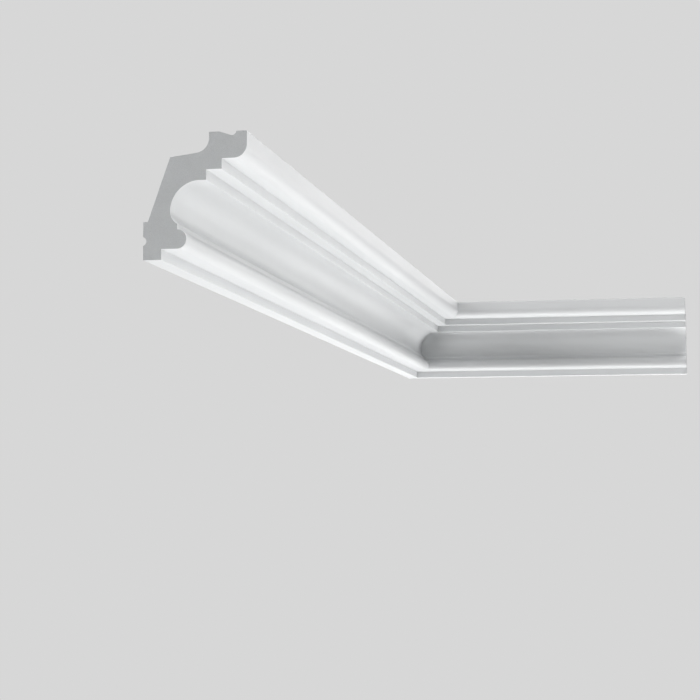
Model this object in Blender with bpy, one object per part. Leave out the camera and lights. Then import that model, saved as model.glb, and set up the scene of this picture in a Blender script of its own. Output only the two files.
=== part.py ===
"""A run of cornice moulding round an inside corner: two lengths of one section, cut at 45 degrees where they meet."""

import math

import bmesh
import bpy
from mathutils import Vector

# Sizes are in metres. A section point is (out, down): out from the wall seat, down from the ceiling seat.

# The run
HEIGHT = 0.090  # ceiling seat to the bottom edge
PROJECTION = 0.075  # wall seat to the fascia
SIDE_RUN = 1.150  # corner of the wall seats to the near cut end
BACK_RUN = 0.357  # corner of the wall seats to the right cut end
MITRE_GAP = 0.0003  # between the two sawn faces, square to them

# The face, from the ceiling down
FASCIA_HEIGHT = 0.0095
OVOLO_RADIUS = 0.0096
OVOLO_SOFFIT = 0.0086  # flat from the ovolo to the first riser
STEP_HEIGHT = 0.0075  # both risers
STEP_DEPTH = 0.0112  # flat from the first riser to the second
COVE_LEAD = 0.0046  # flat from the second riser to the cove
COVE_BACK = 0.0195  # deepest line of the cove, out from the wall seat
COVE_LOWER_RADIUS = 0.0101
FILLET_OUT = 0.0247
FILLET_HEIGHT = 0.0041
BEAD_RADIUS = 0.0068  # the half-round springs from the fillet's face
FOOT_OUT = 0.0132
FOOT_HEIGHT = 0.0077

# The back, from the bottom up
WALL_SEAT_HEIGHT = 0.0272
WALL_LEDGE = 0.0033  # flat on top of the wall seat
WALL_GROOVE_UP = 0.0134  # groove centre, up from the bottom edge
WALL_GROOVE_RADIUS = 0.0033
WALL_GROOVE_DEPTH = 0.0023
HOLLOW_TOP_OUT = 0.0192  # ridge between the raking back and the roof of the block
HOLLOW_TOP_DOWN = 0.0171
HOLLOW_ROOF_RISE = 0.0037  # from the ridge to the block's inner face
HOLLOW_ROUND = 0.0102  # radius in the inner corner
CEILING_SEAT_WIDTH = 0.0275
CEILING_GROOVE_IN = 0.0108  # groove centre, in from the fascia
CEILING_GROOVE_RADIUS = 0.0030
CEILING_GROOVE_RAMP = 0.0093  # from the groove centre to where its ramp starts

ARC_STEP = math.radians(5)  # about what one facet of a round turns
SHARP_ANGLE = math.radians(30)  # arrises over this stay crisp in smooth shading

WHITE = (0.86, 0.86, 0.855, 1)
ROUGHNESS = 0.5

# What follows from the sizes above
foot_top = HEIGHT - FOOT_HEIGHT
bead_middle = foot_top - BEAD_RADIUS
bead_top = bead_middle - BEAD_RADIUS
fillet_top = bead_top - FILLET_HEIGHT
wall_groove_middle = HEIGHT - WALL_GROOVE_UP
wall_groove_angle = math.acos(1 - WALL_GROOVE_DEPTH / WALL_GROOVE_RADIUS)
wall_groove_bottom = wall_groove_middle + WALL_GROOVE_RADIUS * math.sin(wall_groove_angle)
origin_down = (wall_groove_bottom + HEIGHT) / 2  # middle of the flat strip under the wall groove


def arc(centre, radius, start, end, radius_down=None):
    """Points of a round stretch. Angle 0 points out from the wall and a quarter turn points down."""
    steps = max(2, round(abs(end - start) / ARC_STEP))
    angles = [start + (end - start) * step / steps for step in range(steps + 1)]
    radius_down = radius_down or radius
    return [centre + Vector((radius * math.cos(a), radius_down * math.sin(a))) for a in angles]


def rounded_corner(before, corner, after, radius):
    """The arc that takes the place of the corner between two straight faces, tangent to both."""
    to_before = (before - corner).normalized()
    to_after = (after - corner).normalized()
    half = to_before.angle(to_after) / 2
    centre = corner + (to_before + to_after).normalized() * (radius / math.sin(half))
    start = corner + to_before * (radius / math.tan(half)) - centre
    end = corner + to_after * (radius / math.tan(half)) - centre
    first = math.atan2(start.y, start.x)
    return arc(centre, radius, first, first - start.angle_signed(end))


def face_outline():
    """The shown side, from the ceiling seat's front edge down to the bottom edge at the wall."""
    half_turn = math.pi
    quarter = half_turn / 2
    ovolo_bottom = FASCIA_HEIGHT + OVOLO_RADIUS
    step_bottom = ovolo_bottom + STEP_HEIGHT
    cove_top = step_bottom + STEP_HEIGHT
    ovolo_in = PROJECTION - OVOLO_RADIUS
    first_riser = ovolo_in - OVOLO_SOFFIT
    second_riser = first_riser - STEP_DEPTH
    cove_run = second_riser - COVE_LEAD - COVE_BACK

    # The lower arc of the cove ends on the fillet, and that sets the level of the cove's deepest line.
    lower_centre_out = COVE_BACK + COVE_LOWER_RADIUS
    lower_end = math.acos((FILLET_OUT - lower_centre_out) / COVE_LOWER_RADIUS)
    cove_middle = fillet_top - COVE_LOWER_RADIUS * math.sin(lower_end)

    points = [Vector((PROJECTION, 0))]
    points += arc(Vector((ovolo_in, FASCIA_HEIGHT)), OVOLO_RADIUS, 0, quarter)
    points += [Vector((first_riser, ovolo_bottom)), Vector((first_riser, step_bottom))]
    points += [Vector((second_riser, step_bottom)), Vector((second_riser, cove_top))]
    cove_centre = Vector((COVE_BACK + cove_run, cove_middle))
    points += arc(cove_centre, cove_run, -quarter, -half_turn, cove_middle - cove_top)
    points += arc(Vector((lower_centre_out, cove_middle)), COVE_LOWER_RADIUS, half_turn, lower_end)[1:]
    points += arc(Vector((FILLET_OUT, bead_middle)), BEAD_RADIUS, -quarter, quarter)
    points += [Vector((FOOT_OUT, foot_top)), Vector((FOOT_OUT, HEIGHT)), Vector((0, HEIGHT))]
    return points


def back_outline():
    """The hidden side, from the wall groove up round the hollow to the ceiling groove."""
    wall_centre = Vector((WALL_GROOVE_DEPTH - WALL_GROOVE_RADIUS, wall_groove_middle))
    points = arc(wall_centre, WALL_GROOVE_RADIUS, wall_groove_angle, -wall_groove_angle)

    seat_top = HEIGHT - WALL_SEAT_HEIGHT
    ridge = Vector((HOLLOW_TOP_OUT, HOLLOW_TOP_DOWN))
    block_in = PROJECTION - CEILING_SEAT_WIDTH
    inner_corner = Vector((block_in, HOLLOW_TOP_DOWN - HOLLOW_ROOF_RISE))
    block_top = Vector((block_in, 0))
    points += [Vector((0, seat_top)), Vector((WALL_LEDGE, seat_top)), ridge]
    points += rounded_corner(ridge, inner_corner, block_top, HOLLOW_ROUND)
    points += [block_top]

    # The ramp runs tangent into the round of the ceiling groove.
    groove_centre = Vector((PROJECTION - CEILING_GROOVE_IN, 0))
    ramp_end = math.pi - math.acos(CEILING_GROOVE_RADIUS / CEILING_GROOVE_RAMP)
    points += [groove_centre - Vector((CEILING_GROOVE_RAMP, 0))]
    points += arc(groove_centre, CEILING_GROOVE_RADIUS, ramp_end, 0)
    return points


def white_polymer(name):
    material = bpy.data.materials.new(name)
    material.use_nodes = True
    shader = material.node_tree.nodes["Principled BSDF"]
    shader.inputs["Base Color"].default_value = WHITE
    shader.inputs["Roughness"].default_value = ROUGHNESS
    shader.inputs["Metallic"].default_value = 0
    return material


def moulding_length(name, run, way):
    """One length, drawn from the corner of the walls: way is -1 or +1 along Y, to the square cut end."""
    section = face_outline() + back_outline()
    shape = bmesh.new()
    cut_end = shape.faces.new([shape.verts.new((out, way * run, -down)) for out, down in section])
    bmesh.ops.recalc_face_normals(shape, faces=[cut_end])
    swept = bmesh.ops.extrude_face_region(shape, geom=[cut_end], use_keep_orig=True)

    # Each line of the section runs on until it meets the sawn face, further the nearer it is to the wall.
    setback = MITRE_GAP / 2 * math.sqrt(2)  # half the gap, measured along the run
    for vert in swept["geom"]:
        if isinstance(vert, bmesh.types.BMVert):
            vert.co.y = way * (vert.co.x + setback)
    bmesh.ops.recalc_face_normals(shape, faces=shape.faces[:])

    mesh = bpy.data.meshes.new(name)
    shape.to_mesh(mesh)
    shape.free()
    mesh.shade_smooth()
    mesh.set_sharp_from_angle(angle=SHARP_ANGLE)
    mesh.materials.append(white_polymer(name + "_white"))
    length = bpy.data.objects.new(name, mesh)
    bpy.context.scene.collection.objects.link(length)
    return length


def main():
    for old in list(bpy.data.objects):
        bpy.data.objects.remove(old, do_unlink=True)

    # The origin is on the side wall seat, half way along the run. Both lengths hang from the walls' corner.
    corner = bpy.data.objects.new("inside_corner", None)
    corner.location = (0, SIDE_RUN / 2, origin_down)
    bpy.context.scene.collection.objects.link(corner)

    side = moulding_length("side_wall_length", SIDE_RUN, -1)
    side.parent = corner

    back = moulding_length("back_wall_length", BACK_RUN, 1)
    back.parent = corner
    back.rotation_euler.z = -math.pi / 2


main()
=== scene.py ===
import math

import bmesh
import bpy
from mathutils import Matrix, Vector


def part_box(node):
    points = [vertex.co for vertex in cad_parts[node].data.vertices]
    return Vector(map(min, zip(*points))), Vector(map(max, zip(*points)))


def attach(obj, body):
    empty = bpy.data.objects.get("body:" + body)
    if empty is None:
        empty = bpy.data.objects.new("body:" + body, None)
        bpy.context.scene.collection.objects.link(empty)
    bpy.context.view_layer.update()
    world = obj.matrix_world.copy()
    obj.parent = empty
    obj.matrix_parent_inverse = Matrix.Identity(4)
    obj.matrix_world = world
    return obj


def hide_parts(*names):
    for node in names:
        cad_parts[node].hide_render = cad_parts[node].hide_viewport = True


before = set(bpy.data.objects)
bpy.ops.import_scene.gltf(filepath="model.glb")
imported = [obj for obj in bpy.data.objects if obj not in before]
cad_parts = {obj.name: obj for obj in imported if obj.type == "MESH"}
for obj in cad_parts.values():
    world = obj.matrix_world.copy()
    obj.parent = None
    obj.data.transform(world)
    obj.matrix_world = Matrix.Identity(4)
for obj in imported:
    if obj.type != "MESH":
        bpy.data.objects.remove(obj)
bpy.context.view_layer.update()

sideLow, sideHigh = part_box("side_wall_length")
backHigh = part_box("back_wall_length")[1]
wallSeat = sideLow.x                # plane of the long length's glued back
backSeat = backHigh.y               # plane of the short length's glued back
ceilingSeat = sideHigh.z            # plane of both glued tops
print("frame loaded")


# the section that both lengths are moulded to: metres out from the glued back, and down from the top
section = {
    "height": sideHigh.z - sideLow.z,
    "projection": sideHigh.x - sideLow.x,
    "fascia": 0.0095,
    "ovoloRadius": 0.0096,
    "ovoloSoffit": 0.0086,
    "stepHeight": 0.0075,
    "stepDepth": 0.0112,
    "coveLead": 0.0046,                 # the flat that leads into the cove
    "coveBack": 0.0195,                 # the cove's deepest line
    "coveLowerRadius": 0.0101,
    "filletOut": 0.0247,
    "filletHeight": 0.0041,
    "beadRadius": 0.0068,
    "footOut": 0.0132,
    "footHeight": 0.0077,
    "wallSeatHeight": 0.0272,
    "wallLedge": 0.0033,
    "wallGrooveUp": 0.0134,             # from the underside to the middle of the groove
    "wallGrooveRadius": 0.0033,
    "wallGrooveDepth": 0.0023,
    "hollowTopOut": 0.0192,
    "hollowTopDown": 0.0171,
    "hollowRoofRise": 0.0037,
    "hollowRound": 0.0102,
    "ceilingSeatWidth": 0.0275,
    "ceilingGrooveIn": 0.0108,          # from the fascia to the middle of the groove
    "ceilingGrooveRadius": 0.0030,
    "ceilingGrooveRamp": 0.0093,
    "facet": math.radians(3),           # turn of one facet on a large round
    "facetLength": 0.00045,             # and its least length on a small one
    "weld": 0.00001,                    # points nearer than this become one
}


def deselectAll():
    if bpy.context.object and bpy.context.object.mode != "OBJECT":
        bpy.ops.object.mode_set(mode="OBJECT")
    bpy.ops.object.select_all(action="DESELECT")


def place(out, down):
    return Vector((out, 0, -down))


def drawnTo():
    mesh = bmesh.from_edit_mesh(bpy.context.object.data)
    return next(vert.co.copy() for vert in mesh.verts if vert.select)


def straightTo(out, down):
    step = place(out, down) - drawnTo()
    bpy.ops.mesh.extrude_region_move(TRANSFORM_OT_translate={"value": step})


def roundAbout(out, down, turn):
    # a positive turn goes from out, to down, to the back
    centre = place(out, down)
    length = abs(turn) * (drawnTo() - centre).length
    steps = round(max(2, min(abs(turn) / section["facet"], length / section["facetLength"])))
    bpy.ops.mesh.spin(steps=steps, angle=turn, center=centre, axis=(0, -1, 0))


def drawSection():
    s = section
    quarter = math.pi / 2
    bpy.ops.mesh.primitive_plane_add(size=s["fascia"], location=(0, 0, 0))
    bpy.ops.object.mode_set(mode="EDIT")
    bpy.ops.mesh.select_all(action="SELECT")
    bpy.ops.mesh.merge(type="CENTER")       # one point to draw from
    bpy.ops.transform.translate(value=place(s["projection"], 0))

    # the face, from the top down: fascia, ovolo, two steps
    ovoloIn = s["projection"] - s["ovoloRadius"]
    ovoloBottom = s["fascia"] + s["ovoloRadius"]
    firstRiser = ovoloIn - s["ovoloSoffit"]
    secondRiser = firstRiser - s["stepDepth"]
    coveTop = ovoloBottom + 2 * s["stepHeight"]
    straightTo(s["projection"], s["fascia"])
    roundAbout(ovoloIn, s["fascia"], quarter)
    straightTo(firstRiser, ovoloBottom)
    straightTo(firstRiser, ovoloBottom + s["stepHeight"])
    straightTo(secondRiser, ovoloBottom + s["stepHeight"])
    straightTo(secondRiser, coveTop)

    # the cove is two arcs that meet on its deepest line, and the lower one ends on the fillet
    beadBottom = s["height"] - s["footHeight"]
    beadTop = beadBottom - 2 * s["beadRadius"]
    filletTop = beadTop - s["filletHeight"]
    lowerCentre = s["coveBack"] + s["coveLowerRadius"]
    lowerTurn = math.pi - math.acos((s["filletOut"] - lowerCentre) / s["coveLowerRadius"])
    coveMiddle = filletTop - s["coveLowerRadius"] * math.sin(lowerTurn)
    upperRadius = secondRiser - s["coveLead"] - s["coveBack"]
    straightTo(s["coveBack"] + upperRadius, coveTop)
    roundAbout(s["coveBack"] + upperRadius, coveTop + upperRadius, -quarter)
    straightTo(s["coveBack"], coveMiddle)
    roundAbout(lowerCentre, coveMiddle, -lowerTurn)

    # fillet, bead and foot
    straightTo(s["filletOut"], beadTop)
    roundAbout(s["filletOut"], beadTop + s["beadRadius"], math.pi)
    straightTo(s["footOut"], beadBottom)
    straightTo(s["footOut"], s["height"])
    straightTo(0, s["height"])

    # the back, from the bottom up: the seat with its glue groove, and the raking hollow over its ledge
    grooveMiddle = s["height"] - s["wallGrooveUp"]
    grooveTurn = math.acos(1 - s["wallGrooveDepth"] / s["wallGrooveRadius"])
    seatTop = s["height"] - s["wallSeatHeight"]
    straightTo(0, grooveMiddle + s["wallGrooveRadius"] * math.sin(grooveTurn))
    roundAbout(s["wallGrooveDepth"] - s["wallGrooveRadius"], grooveMiddle, -2 * grooveTurn)
    straightTo(0, seatTop)
    straightTo(s["wallLedge"], seatTop)
    straightTo(s["hollowTopOut"], s["hollowTopDown"])

    # the hollow's sloping roof runs into the top block by a round
    blockIn = s["projection"] - s["ceilingSeatWidth"]
    roofSlope = math.atan2(s["hollowRoofRise"], blockIn - s["hollowTopOut"])
    roundOut = blockIn - s["hollowRound"]
    roofAtRound = s["hollowTopDown"] - (roundOut - s["hollowTopOut"]) * math.tan(roofSlope)
    roundDown = roofAtRound - s["hollowRound"] / math.cos(roofSlope)
    touchOut = roundOut + s["hollowRound"] * math.sin(roofSlope)
    touchDown = roundDown + s["hollowRound"] * math.cos(roofSlope)
    straightTo(touchOut, touchDown)
    roundAbout(roundOut, roundDown, roofSlope - quarter)
    straightTo(blockIn, 0)

    # the top seat, with a glue groove that has a ramp on its inner side
    grooveOut = s["projection"] - s["ceilingGrooveIn"]
    rampTurn = math.pi - math.acos(s["ceilingGrooveRadius"] / s["ceilingGrooveRamp"])
    rampEnd = Vector((math.cos(rampTurn), math.sin(rampTurn))) * s["ceilingGrooveRadius"]
    straightTo(grooveOut - s["ceilingGrooveRamp"], 0)
    straightTo(grooveOut + rampEnd.x, rampEnd.y)
    roundAbout(grooveOut, 0, -rampTurn)
    straightTo(s["projection"], 0)

    bpy.ops.mesh.select_all(action="SELECT")
    bpy.ops.mesh.remove_doubles(threshold=s["weld"])
    bpy.ops.mesh.edge_face_add()
    bpy.ops.object.mode_set(mode="OBJECT")
    return bpy.context.object


# a finish is a few patterns, each a number that changes over the surface, summed into colour and relief
class Wire:
    def __init__(self, finish, socket):
        self.finish = finish
        self.socket = socket

    def maths(self, operation, first, second):
        return self.finish.add("ShaderNodeMath", {"operation": operation}, {0: first, 1: second})

    def __add__(self, other):
        return self.maths("ADD", self, other)

    def __radd__(self, other):
        return self.maths("ADD", other, self)

    def __sub__(self, other):
        return self.maths("SUBTRACT", self, other)

    def __rsub__(self, other):
        return self.maths("SUBTRACT", other, self)

    def __mul__(self, other):
        return self.maths("MULTIPLY", self, other)

    def __rmul__(self, other):
        return self.maths("MULTIPLY", other, self)

    def atLeast(self, other):
        return self.maths("MAXIMUM", self, other)


class Finish:
    def __init__(self, name, turn):
        self.material = bpy.data.materials.new(name)
        self.material.use_nodes = True
        self.shader = self.material.node_tree.nodes["Principled BSDF"]
        here = self.add("ShaderNodeTexCoord", {}, {}, "Object")
        # turned so that y is along the run on both pieces
        self.here = self.add("ShaderNodeMapping", {}, {"Vector": here, "Rotation": (0, 0, -turn)})

    def add(self, kind, settings, values, output=0):
        tree = self.material.node_tree
        node = tree.nodes.new(kind)
        for key, setting in settings.items():
            setattr(node, key, setting)
        for key, value in values.items():
            if isinstance(value, Wire):
                tree.links.new(value.socket, node.inputs[key])
            else:
                node.inputs[key].default_value = value
        return Wire(self, node.outputs[output])

    def across(self, size, stretch, seed):
        # coordinates in which a mark of that size, in metres, is one unit long
        scale = [1 / (size * share) for share in stretch]
        values = {"Vector": self.here, "Scale": scale, "Location": (seed, seed, seed)}
        return self.add("ShaderNodeMapping", {}, values)

    def cloud(self, size, detail, seed, stretch=(1, 1, 1)):
        values = {"Vector": self.across(size, stretch, seed), "Scale": 1, "Detail": detail}
        return self.add("ShaderNodeTexNoise", {}, values)

    def cells(self, size, seed, stretch=(1, 1, 1)):
        values = {"Vector": self.across(size, stretch, seed), "Scale": 1}
        return self.add("ShaderNodeTexVoronoi", {}, values, "Distance")

    def between(self, mask, low, high):
        # 0 under low, 1 over high, eased between
        settings = {"interpolation_type": "SMOOTHSTEP"}
        return self.add("ShaderNodeMapRange", settings, {"Value": mask, "From Min": low, "From Max": high})

    def blend(self, share, first, second):
        # a Mix node's colour sockets go by number, as its plain numbers have the same names
        shareIn, firstIn, secondIn, colourOut = 0, 6, 7, 2
        values = {shareIn: share, firstIn: (*first, 1), secondIn: (*second, 1)}
        return self.add("ShaderNodeMix", {"data_type": "RGBA"}, values, colourOut)

    def finishWith(self, colour, roughness, relief):
        tree = self.material.node_tree
        # relief is a height in metres
        bump = self.add("ShaderNodeBump", {}, {"Height": relief, "Distance": 1})
        for socket, wire in {"Base Color": colour, "Roughness": roughness, "Normal": bump}.items():
            tree.links.new(wire.socket, self.shader.inputs[socket])
        return self.material


# in each finish, sizes and heights are in metres, a stretch is x, y and z with y along the run,
# a pattern goes from none to full between an edge's two values, and a share is part of a whole
primer = {
    "tone": (0.788, 0.799, 0.805),
    "thinTone": (0.766, 0.777, 0.784),  # where the coat is a little thinner
    "thinEdge": (0.38, 0.66),
    "thinStreakShare": 0.25,            # the rest of where it is thin is the coat's own
    "roughness": (0.36, 0.48),
    "roughPeelShare": 0.4,              # and so is the rest of the roughness
    "coat": 0.05,
    "coatStretch": (1, 5, 1),
    "peel": 0.0019,                     # orange peel
    "peelHeight": 0.000010,
    "streak": 0.0022,                   # marks drawn along the run by the mould
    "streakStretch": (1, 70, 1),
    "streakHeight": 0.000004,
    "grain": 0.0003,
    "grainHeight": 0.0000025,
}


def primedFinish(name, turn):
    p = primer
    finish = Finish(name + " primed", turn)
    peel = finish.cloud(p["peel"], detail=1.5, seed=3)
    streak = finish.cloud(p["streak"], detail=3, seed=11, stretch=p["streakStretch"])
    grain = finish.cloud(p["grain"], detail=1, seed=5)
    coat = finish.cloud(p["coat"], detail=4, seed=7, stretch=p["coatStretch"])
    pattern = coat * (1 - p["thinStreakShare"]) + streak * p["thinStreakShare"]
    colour = finish.blend(finish.between(pattern, *p["thinEdge"]), p["tone"], p["thinTone"])
    low, high = p["roughness"]
    roughness = low + (high - low) * (peel * p["roughPeelShare"] + coat * (1 - p["roughPeelShare"]))
    relief = peel * p["peelHeight"] + streak * p["streakHeight"] + grain * p["grainHeight"]
    return finish.finishWith(colour, roughness, relief)


bareSkin = {
    "tone": (0.66, 0.662, 0.656),
    # the swirls' own tone, also painted into the pinholes as shade
    "flowAndPinholeShadeTone": (0.625, 0.627, 0.620),
    "roughness": (0.55, 0.72),
    "roughSkinShare": 0.4,              # the rest of the roughness is the swirls'
    "flow": 0.009,                      # swirls left as the foam rose
    "flowStretch": (1, 3.5, 1),
    "flowEdge": (0.36, 0.64),
    "flowHeight": 0.00006,
    "skin": 0.0009,
    "skinHeight": 0.00001,
    "pinhole": 0.0075,                  # how far apart the pinholes are
    "pinholeEdge": (0.036, 0.09),       # floor and rim of one, as parts of that
    "pinholeDepth": 0.0003,
}


def bareFinish(name, turn):
    b = bareSkin
    finish = Finish(name + " bare back", turn)
    flow = finish.cloud(b["flow"], detail=4, seed=2, stretch=b["flowStretch"])
    skin = finish.cloud(b["skin"], detail=2, seed=9)
    pinhole = 1 - finish.between(finish.cells(b["pinhole"], seed=4), *b["pinholeEdge"])
    patch = finish.between(flow, *b["flowEdge"])
    # the swirl patches are the skin's own tone; the pinholes are painted darker as shade in their pits
    colour = finish.blend(patch.atLeast(pinhole), b["tone"], b["flowAndPinholeShadeTone"])
    low, high = b["roughness"]
    roughness = low + (high - low) * (patch * (1 - b["roughSkinShare"]) + skin * b["roughSkinShare"])
    relief = flow * b["flowHeight"] + skin * b["skinHeight"] - pinhole * b["pinholeDepth"]
    return finish.finishWith(colour, roughness, relief)


sawnFoam = {
    "tone": (0.531, 0.544, 0.551),
    "hollowShadeAndOpenTone": (0.476, 0.488, 0.495),  # where the foam is more open, and painted shade in the cut bubbles' hollows
    "shadeAndOpenEdge": (0.2, 0.75),
    "shadeAndOpenShares": {"cell": 0.45, "fine": 0.2, "kerf": 0.15, "patch": 0.2},
    "roughness": (0.82, 0.95),
    "cell": 0.00042,                    # the foam's own bubbles, cut open
    "cellEdge": (0.15, 0.75),
    "cellDepth": 0.00012,
    "fine": 0.0002,                     # torn bubble walls
    "fineHeight": 0.00002,
    "kerf": 0.0011,                     # lines left by the saw
    "kerfStretch": (60, 60, 1),
    "kerfDepth": 0.00002,
    "patch": 0.012,                     # looser places in the foam
}


def sawnFinish(name, turn):
    s = sawnFoam
    share = s["shadeAndOpenShares"]
    finish = Finish(name + " sawn end", turn)
    wall = finish.between(finish.cells(s["cell"], seed=6), *s["cellEdge"])
    fine = finish.cloud(s["fine"], detail=2, seed=8)
    kerf = finish.cloud(s["kerf"], detail=2, seed=13, stretch=s["kerfStretch"])
    patch = finish.cloud(s["patch"], detail=3, seed=1)
    # the hollows of the cut bubbles are painted darker as shade; torn walls, saw lines and looser places
    # are the foam's own tone
    hollowShadeAndOpenness = ((1 - wall) * share["cell"] + fine * share["fine"]
                + kerf * share["kerf"] + patch * share["patch"])
    colour = finish.blend(finish.between(hollowShadeAndOpenness, *s["shadeAndOpenEdge"]), s["tone"], s["hollowShadeAndOpenTone"])
    low, high = s["roughness"]
    roughness = low + (high - low) * wall
    relief = wall * s["cellDepth"] + kerf * s["kerfDepth"] + fine * s["fineHeight"]
    return finish.finishWith(colour, roughness, relief)


sideWallMoulding = {
    "name": "side_wall_moulding",
    "node": "side_wall_length",
    "run": backSeat - sideLow.y,
    "way": -1,                          # from the mitre towards the viewer
    "turn": 0,
}
backWallMoulding = {
    "name": "back_wall_moulding",
    "node": "back_wall_length",
    "run": backHigh.x - wallSeat,
    "way": 1,                           # drawn the other way, then turned to run to the right
    "turn": -math.pi / 2,
}
arris = {
    "radius": 0.00035,                  # softness of the moulded arrises
    "segments": 3,
    "along": 0.99,                      # part of a long arris's direction that is along the run
    "leastFold": math.radians(25),      # a lesser fold is between two facets of a round
    "smoothFold": math.radians(40),     # a lesser fold is shaded smooth
    "joint": 0.0001,                    # width of the closed mitre
}
# how far a face's normal leans along the run on a sawn end, and backwards or upwards on the bare back
leaning = {
    "end": 0.1,
    "back": 0.1,
    "top": 0.6,
}


def isLongArris(edge):
    start, end = (vert.co for vert in edge.verts)
    runsAlong = abs((end - start).normalized().y) > arris["along"]
    return runsAlong and edge.calc_face_angle(0) > arris["leastFold"]


def softenArrises():
    mesh = bmesh.from_edit_mesh(bpy.context.object.data)
    bpy.ops.mesh.select_mode(type="EDGE")
    bpy.ops.mesh.select_all(action="DESELECT")
    for edge in mesh.edges:
        edge.select_set(isLongArris(edge))
    bmesh.update_edit_mesh(bpy.context.object.data)
    bpy.ops.mesh.bevel(
        offset=arris["radius"], segments=arris["segments"], affect="EDGES", clamp_overlap=False)


def sawMitre(way):
    beyond = Vector((1, -way, 0)).normalized()
    sawLine = -beyond * arris["joint"] / 2
    bpy.ops.mesh.select_all(action="SELECT")
    bpy.ops.mesh.bisect(plane_co=sawLine, plane_no=beyond, use_fill=True, clear_outer=True)


def giveFinishes(piece, turn):
    for finish in primedFinish, bareFinish, sawnFinish:
        piece.data.materials.append(finish(piece.name, turn))
    primed, bare, sawn = range(3)
    for face in piece.data.polygons:
        out, down, normal = face.center.x, -face.center.z, face.normal
        isBack = normal.x < -leaning["back"] or out < section["wallLedge"]
        isTop = normal.z > leaning["top"] and down < section["hollowTopDown"]
        if abs(normal.y) > leaning["end"]:
            face.material_index = sawn
        elif isBack or isTop:
            face.material_index = bare
        else:
            face.material_index = primed


def makeLength(cut):
    deselectAll()
    outline.select_set(True)
    bpy.context.view_layer.objects.active = outline
    bpy.ops.object.duplicate()
    piece = bpy.context.object
    piece.name = piece.data.name = cut["name"]
    bpy.ops.object.mode_set(mode="EDIT")
    bpy.ops.mesh.select_all(action="SELECT")
    bpy.ops.mesh.extrude_region_move(TRANSFORM_OT_translate={"value": (0, cut["way"] * cut["run"], 0)})
    bpy.ops.mesh.select_all(action="SELECT")
    bpy.ops.mesh.normals_make_consistent(inside=False)
    softenArrises()
    sawMitre(cut["way"])
    bpy.ops.mesh.select_all(action="SELECT")
    bpy.ops.mesh.normals_make_consistent(inside=False)
    bpy.ops.object.mode_set(mode="OBJECT")
    giveFinishes(piece, cut["turn"])

    bpy.ops.object.shade_smooth_by_angle(angle=arris["smoothFold"])
    flats = piece.modifiers.new("flats stay flat", "WEIGHTED_NORMAL")
    flats.keep_sharp = True
    bpy.ops.object.modifier_apply(modifier=flats.name)
    piece.location = (wallSeat, backSeat, ceilingSeat)
    piece.rotation_euler.z = cut["turn"]
    bpy.ops.object.transform_apply(location=True, rotation=True, scale=True)

    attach(piece, "root")
    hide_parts(cut["node"])
    print(cut["name"], "made:", len(piece.data.polygons), "faces")


deselectAll()
outline = drawSection()
print("section drawn:", len(outline.data.vertices), "points")
makeLength(sideWallMoulding)
makeLength(backWallMoulding)
bpy.data.objects.remove(outline)


studio = {
    "floor": -4.5,                      # far under the lengths, which hang as they do when fixed
    "height": 10.0,
    "radius": 9.0,
    "sides": 128,
    "corner": 3.0,                      # the floor turns up into the backdrop by this round
    "cornerSegments": 16,
    "level": 0.9,                       # a face whose normal is this upright is floor or top
    "tone": (0.68, 0.68, 0.68),
}


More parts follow.
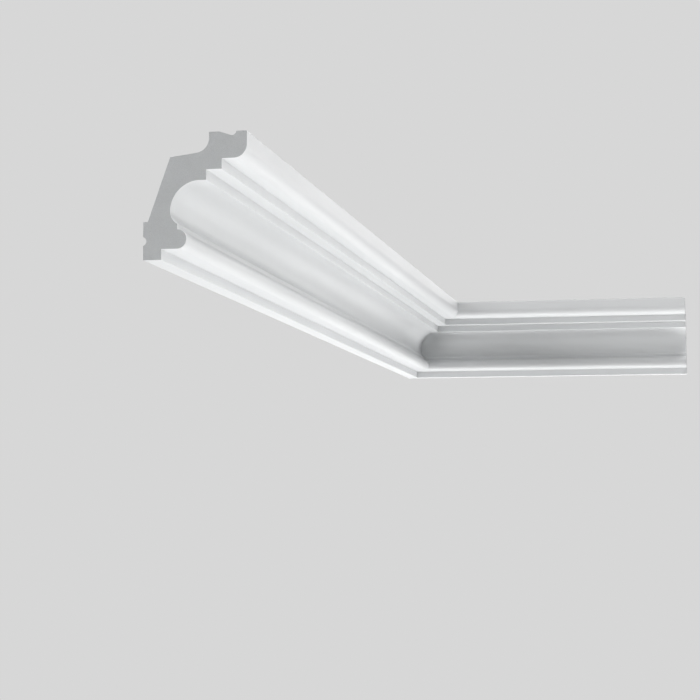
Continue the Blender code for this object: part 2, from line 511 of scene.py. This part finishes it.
def makeFloor():
    deselectAll()
    middle = (0, 0, studio["floor"] + studio["height"] / 2)
    bpy.ops.mesh.primitive_cylinder_add(
        vertices=studio["sides"], radius=studio["radius"], depth=studio["height"], location=middle)
    floor = bpy.context.object
    floor.name = "studio_floor"
    bpy.ops.object.mode_set(mode="EDIT")
    bpy.ops.mesh.select_mode(type="FACE")
    bpy.ops.mesh.select_all(action="DESELECT")
    mesh = bmesh.from_edit_mesh(floor.data)
    for face in mesh.faces:
        face.select_set(abs(face.normal.z) > studio["level"])
    bmesh.update_edit_mesh(floor.data)
    bpy.ops.mesh.bevel(offset=studio["corner"], segments=studio["cornerSegments"], affect="EDGES")
    bpy.ops.mesh.select_all(action="SELECT")
    bpy.ops.mesh.normals_make_consistent(inside=True)
    bpy.ops.object.mode_set(mode="OBJECT")
    bpy.ops.object.shade_smooth()

    paper = bpy.data.materials.new("pale paper")
    paper.use_nodes = True
    paint = paper.node_tree.nodes["Principled BSDF"]
    paint.inputs["Base Color"].default_value = (0, 0, 0, 1)
    paint.inputs["Specular IOR Level"].default_value = 0
    paint.inputs["Emission Color"].default_value = (*studio["tone"], 1)
    paint.inputs["Emission Strength"].default_value = 1
    floor.data.materials.append(paper)
    # seen plainly, without shading what hangs over it
    floor.visible_diffuse = False
    floor.visible_glossy = False
    floor.visible_shadow = False


lamps = {
    # name: degrees above the object, degrees round it from the viewer towards the right, and strength
    "low left": (-70, 240, 1.38),
    "low right": (-55, 120, 1.79),
    "low front": (-40, -40, 0.75),
    "corner": (-40, 40, 0.51),
    "front": (5, -45, 1.38),
    "back right": (5, 135, 0.75),
    "back": (5, 180, 0.87),
    "right": (30, 90, 0.43),
    "above": (70, 0, 2.11),
}
lighting = {
    "softness": math.radians(40),       # how wide each lamp looks from the object
    "distance": 4.0,                    # where it hangs, which makes no difference to its light
    "fill": 0.05,                       # light from all round, for the deepest corners
}


def hangLamps():
    for name, (rise, turn, strength) in lamps.items():
        light = bpy.data.lights.new(name, "SUN")
        light.energy = strength
        light.angle = lighting["softness"]
        lamp = bpy.data.objects.new(name, light)
        lamp.rotation_euler = (math.radians(90 - rise), 0, math.radians(turn))
        lamp.location = lamp.rotation_euler.to_matrix() @ Vector((0, 0, lighting["distance"]))
        bpy.context.collection.objects.link(lamp)

    room = bpy.data.worlds.new("studio fill")
    room.use_nodes = True
    air = room.node_tree.nodes["Background"]
    air.inputs["Color"].default_value = (1, 1, 1, 1)
    air.inputs["Strength"].default_value = lighting["fill"]
    bpy.context.scene.world = room


camera = {
    "place": (0.3968, -1.8312, -0.1855),
    "tilt": math.radians(95.105),       # a little upwards
    "heading": math.radians(11.173),    # and to the left
    "lens": 96.35,
    "sensor": 36.0,
    "farthest": 100.0,                  # metres that it sees
}


def setCamera():
    lens = bpy.data.cameras.new("camera")
    lens.lens = camera["lens"]
    lens.sensor_width = camera["sensor"]
    lens.clip_end = camera["farthest"]
    viewer = bpy.data.objects.new("camera", lens)
    viewer.location = camera["place"]
    viewer.rotation_euler = (camera["tilt"], 0, camera["heading"])
    bpy.context.collection.objects.link(viewer)
    bpy.context.scene.camera = viewer
    bpy.context.scene.view_settings.view_transform = "Standard"


makeFloor()
hangLamps()
setCamera()
print("floor, lamps and camera set")
